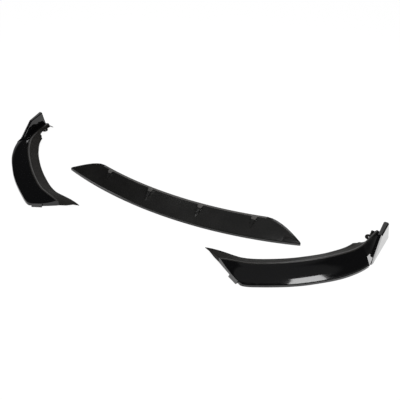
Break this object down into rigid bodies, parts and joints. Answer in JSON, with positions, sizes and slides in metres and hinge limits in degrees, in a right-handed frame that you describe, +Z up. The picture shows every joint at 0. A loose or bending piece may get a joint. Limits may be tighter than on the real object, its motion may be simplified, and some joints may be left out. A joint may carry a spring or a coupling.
{
  "type": "front splitter lip",
  "caption": "Front bumper splitter lip: a matte centre blade with strakes and two gloss, winged corner blades with fins, laid out apart as a set.",
  "frame": {"origin": "under the middle of the centre blade's front rim, on the floor", "axes": "+X along the centre blade towards the car's left side as seen from the front, -Y towards the front, +Z up"},
  "size_m": [1.6097, 0.5047, 0.076],
  "materials": {
    "satin_black": "matte black moulding with a fine grain",
    "gloss_black": "gloss black blade and fin, with a matte land and mounting flange"
  },
  "bodies": {
    "root": {"centre_blade": "satin_black", "left_corner": "gloss_black", "right_corner": "gloss_black"}
  },
  "joints": []
}
